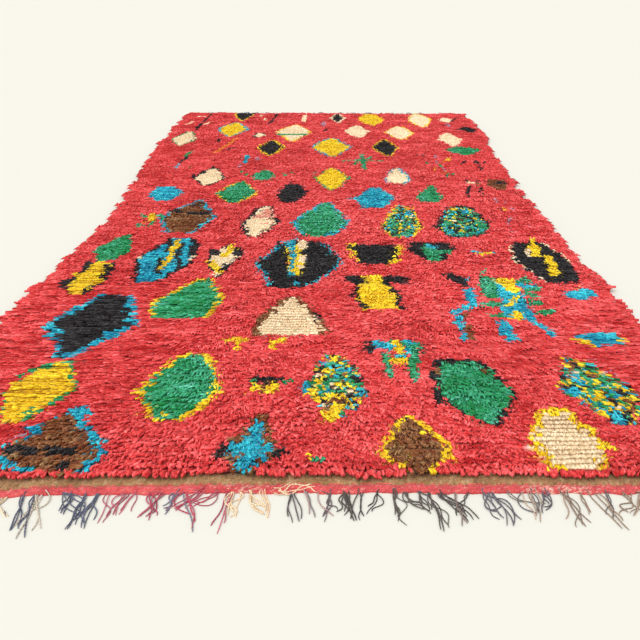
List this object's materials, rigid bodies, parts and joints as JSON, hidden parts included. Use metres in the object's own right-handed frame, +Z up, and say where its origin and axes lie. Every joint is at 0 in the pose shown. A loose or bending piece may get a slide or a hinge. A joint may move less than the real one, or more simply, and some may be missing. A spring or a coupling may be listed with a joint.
{
  "type": "boujaad rug",
  "caption": "Hand-knotted shag wool rug lying flat: red pile with scattered many-coloured lozenges, plain woven end bands, and loose warp fringe at both ends.",
  "frame": {"origin": "centre of the underside, on the floor", "axes": "+Y along the rug from its near end to its far end, +X across it to the right, +Z up out of the pile"},
  "size_m": [1.683, 3.3114, 0.0229],
  "materials": {
    "pile": "matt knotted wool pile, about 18 mm, red with green, yellow, blue, black, brown and cream knots",
    "plain_weave": "matt plain weave in brown wool",
    "end_stripe": "matt red weft-faced stripe, with plied warp ends in red, grey, cream and beige"
  },
  "bodies": {
    "root": {"pile_field": "pile", "near_band": "plain_weave", "near_fringe": "end_stripe", "far_band": "plain_weave", "far_fringe": "end_stripe"}
  },
  "joints": []
}
